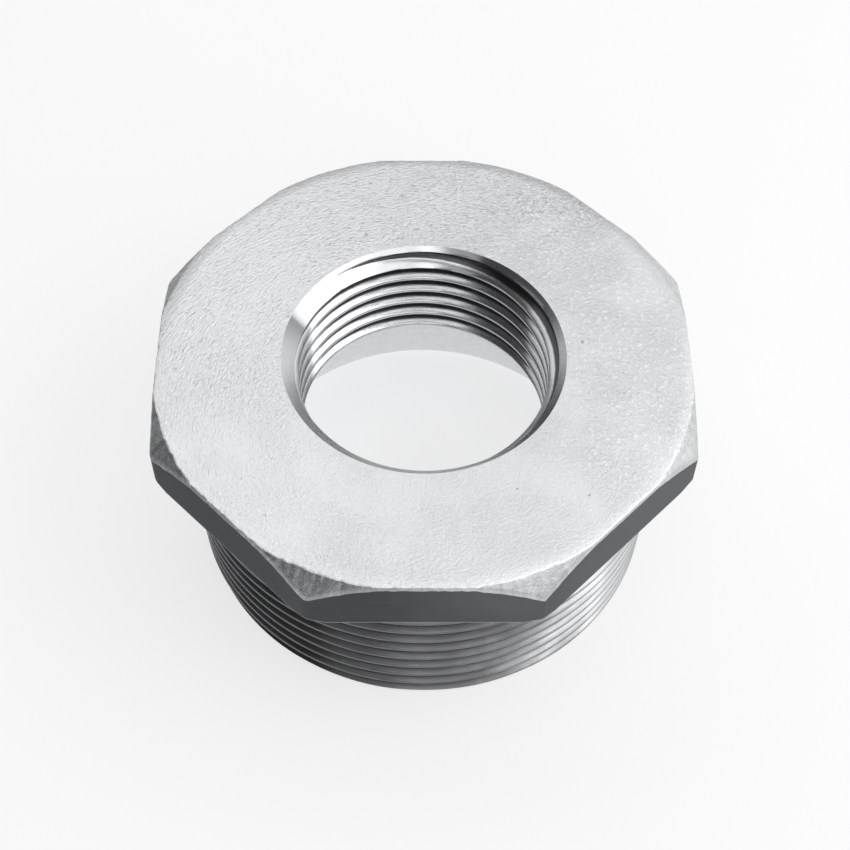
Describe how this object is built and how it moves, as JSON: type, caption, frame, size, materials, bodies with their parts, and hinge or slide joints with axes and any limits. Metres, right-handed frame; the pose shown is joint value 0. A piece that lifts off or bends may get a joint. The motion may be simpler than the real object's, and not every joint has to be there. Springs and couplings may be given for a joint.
{
  "type": "octagon-head reducing bushing (hex bushing)",
  "caption": "Pipe reducing bushing with a flat octagonal head, a tapered male thread below it and a smaller female pipe thread through its centre.",
  "frame": {"origin": "centre of the threaded end's rim, on the bushing's axis", "axes": "+Z along the axis from the threaded end to the octagonal head, -Y square to one flat of the head"},
  "size_m": [0.064, 0.064, 0.0315],
  "materials": {
    "cast_steel": "fine cast grain on the head face, machined threads and countersink"
  },
  "bodies": {
    "root": {"bushing_body": "cast_steel"}
  },
  "joints": []
}
